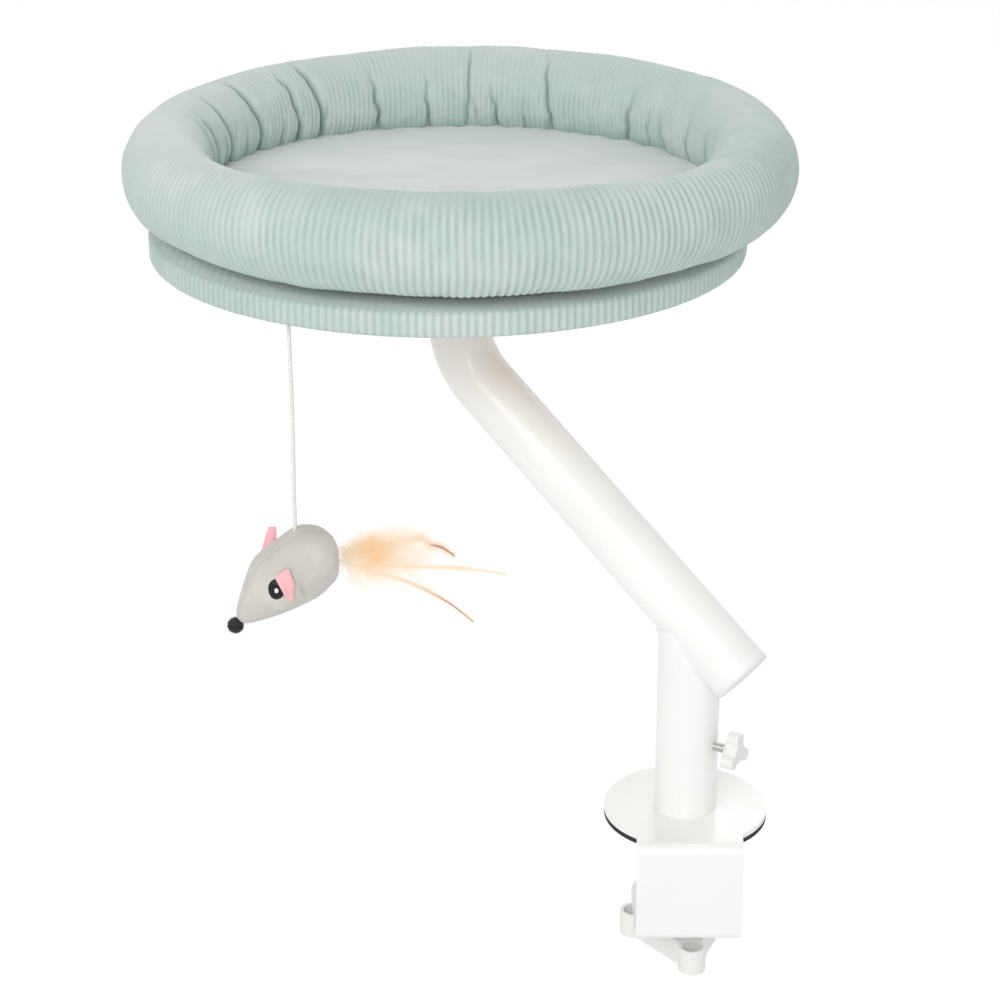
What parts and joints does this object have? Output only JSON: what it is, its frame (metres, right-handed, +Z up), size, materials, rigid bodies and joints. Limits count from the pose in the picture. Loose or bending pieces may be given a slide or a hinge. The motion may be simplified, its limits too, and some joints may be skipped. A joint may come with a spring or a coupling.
{
  "type": "desk-mounted cat bed",
  "caption": "Round cushioned cat bed on a bent swivelling arm that clamps to a desk edge, with a mouse toy hanging on a string under it.",
  "frame": {"origin": "centre of the desk pad's underside, on the post's axis, so the desk top is z = 0", "axes": "+Z up along the post; -Y towards the clamp's front plate, where the desk's edge goes; the bed hangs out to the back left, towards -X and +Y"},
  "size_m": [0.4007, 0.3991, 0.5077],
  "materials": {
    "white_coat": "gloss white powder coat",
    "foam_rubber": "matt black foam rubber",
    "bright_steel": "zinc plated",
    "white_plastic": "satin moulded white plastic",
    "board": "raw particle board",
    "mint_corduroy": "pale mint corduroy, about 3 mm between wales",
    "floor_plush": "short pale plush",
    "hook_tape": "woven hook-and-loop tape",
    "white_string": "round elastic cord",
    "grey_plush": "short grey plush",
    "black_pompom": "fuzzy black pompom",
    "eye_plastic": "glossy black and white button",
    "pink_felt": "pink felt",
    "feather": "dyed peach down and feathers"
  },
  "bodies": {
    "clamp": {"clamp_bracket": "white_coat", "desk_pad": "foam_rubber", "inner_post": "bright_steel", "clamp_nut": "bright_steel"},
    "pressure_foot": {"swivel_foot": "white_coat", "foot_pad": "foam_rubber"},
    "clamp_screw": {"clamp_screw": "bright_steel", "clamp_knob": "white_plastic", "thrust_washer": "bright_steel"},
    "arm": {"upright_sleeve": "white_coat", "support_arm": "white_coat", "arm_end_cap": "white_plastic", "mount_flange": "white_coat", "flange_screws": "bright_steel", "base_board": "board", "base_cover": "mint_corduroy", "hook_patches": "hook_tape", "string_staple": "bright_steel"},
    "thumb_stud": {"thumb_stud": "bright_steel"},
    "thumb_knob": {"thumb_knob": "white_plastic"},
    "cushion": {"loop_patches": "hook_tape", "floor_pad": "floor_plush", "bolster_ring": "mint_corduroy"},
    "toy_knot": {"string_top_knot": "white_string"},
    "toy_string": {"toy_string": "white_string", "string_end_knot": "white_string"},
    "mouse": {"mouse_body": "grey_plush", "mouse_nose": "black_pompom", "mouse_eyes": "eye_plastic", "mouse_ears": "pink_felt", "feather_fluff": "feather", "feather_plumes": "feather"}
  },
  "joints": [
    {"name": "arm_swivel", "type": "hinge", "parent": "clamp", "child": "arm", "pos_m": [0, 0, 0.05], "axis": [0, 0, 1], "continuous": true},
    {"name": "clamp_lift", "type": "slide", "parent": "clamp", "child": "pressure_foot", "axis": [0, 0, 1], "range_m": [-0.0168, 0.0124]},
    {"name": "clamp_turn", "type": "hinge", "parent": "pressure_foot", "child": "clamp_screw", "pos_m": [0, 0, -0.05], "axis": [0, 0, 1], "range_deg": [-3025, 2233]},
    {"name": "thumb_push", "type": "slide", "parent": "arm", "child": "thumb_stud", "axis": [0.848, -0.5299, 0], "range_m": [0, 0.0015]},
    {"name": "thumb_turn", "type": "hinge", "parent": "thumb_stud", "child": "thumb_knob", "pos_m": [0, 0, 0.0516], "axis": [0.848, -0.5299, 0], "range_deg": [0, 541]},
    {"name": "cushion_lift", "type": "slide", "parent": "arm", "child": "cushion", "axis": [0, 0, 1], "range_m": [0, 0.12]},
    {"name": "toy_swing", "type": "hinge", "parent": "arm", "child": "toy_knot", "pos_m": [-0.23282, -0.03137, 0.33334], "axis": [0, 1, 0], "range_deg": [-30, 30]},
    {"name": "toy_sway", "type": "hinge", "parent": "toy_knot", "child": "toy_string", "pos_m": [-0.23282, -0.03137, 0.33334], "axis": [1, 0, 0], "range_deg": [-30, 30]},
    {"name": "toy_twist", "type": "hinge", "parent": "toy_string", "child": "mouse", "pos_m": [-0.23282, -0.03137, 0.2017], "axis": [0, 0, 1], "continuous": true}
  ],
  "couplings": [
    {"joint": "clamp_turn", "follows": "clamp_lift", "rad_per_m": 3141.6},
    {"joint": "thumb_turn", "follows": "thumb_push", "rad_per_m": 6283.2}
  ]
}
